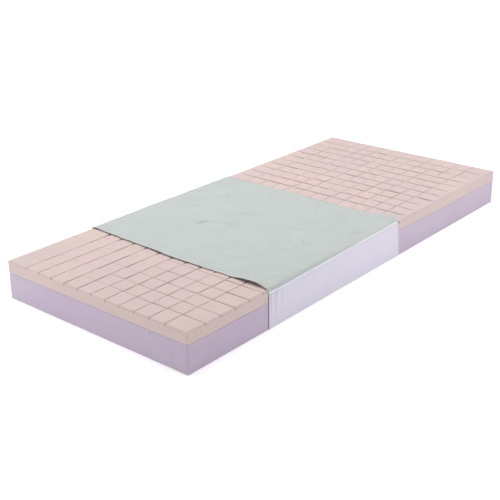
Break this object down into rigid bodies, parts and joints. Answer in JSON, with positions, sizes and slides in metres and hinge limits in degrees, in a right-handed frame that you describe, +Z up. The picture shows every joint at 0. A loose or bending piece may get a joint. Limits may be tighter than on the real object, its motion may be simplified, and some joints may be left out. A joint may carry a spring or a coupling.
{
  "type": "pressure relief mattress",
  "caption": "Two-layer foam hospital mattress, castellated comfort foam bonded on a firm base, with a short sliding length of zipped wipe-clean cover round the middle.",
  "frame": {"origin": "middle of the underside, on the surface that the mattress lies on", "axes": "+X along the length towards the end furthest from the cover, -Y the plain long side, +Y the zip side, +Z up"},
  "size_m": [1.98, 0.8984, 0.1498],
  "materials": {
    "base_foam": "matte",
    "top_foam": "matte",
    "stretch_top": "satin",
    "coated_side": "satin",
    "coated_base": "satin",
    "seam_weld": "satin",
    "zip_tape": "matte",
    "zip_chain": "satin",
    "zip_metal": "satin",
    "hem_binding": "matte"
  },
  "bodies": {
    "core": {"base_foam": "base_foam", "castellated_top_foam": "top_foam"},
    "cover": {"cover_top_panel": "stretch_top", "cover_side_panel_near": "coated_side", "cover_side_panel_far_upper": "coated_side", "cover_side_panel_far_lower": "coated_side", "cover_base_panel": "coated_base", "top_seam_near": "seam_weld", "top_seam_far": "seam_weld", "bottom_seam_near": "seam_weld", "bottom_seam_far": "seam_weld", "zip_tape_upper": "zip_tape", "zip_tape_lower": "zip_tape", "zip_teeth_upper": "zip_chain", "zip_teeth_lower": "zip_chain", "zip_end_stops": "zip_metal", "zip_flap_seam": "seam_weld"},
    "zip_slider": {"zip_slider": "zip_metal"},
    "zip_pull": {"zip_pull_tab": "zip_metal"},
    "zip_flap": {"zip_flap": "coated_side", "zip_flap_hem": "hem_binding"}
  },
  "joints": [
    {"name": "cover_slide", "type": "slide", "parent": "core", "child": "cover", "axis": [1, 0, 0], "range_m": [-0.391, 0.799]},
    {"name": "zip_travel", "type": "slide", "parent": "cover", "child": "zip_slider", "axis": [1, 0, 0], "range_m": [-0.7325, 0.0245]},
    {"name": "pull_tab_turn", "type": "hinge", "parent": "zip_slider", "child": "zip_pull", "pos_m": [0.15, 0.448, 0.042], "axis": [0, 0, 1], "range_deg": [0, 175]},
    {"name": "flap_lift", "type": "hinge", "parent": "cover", "child": "zip_flap", "pos_m": [0, 0.4464, 0.064], "axis": [1, 0, 0], "range_deg": [0, 140]}
  ]
}
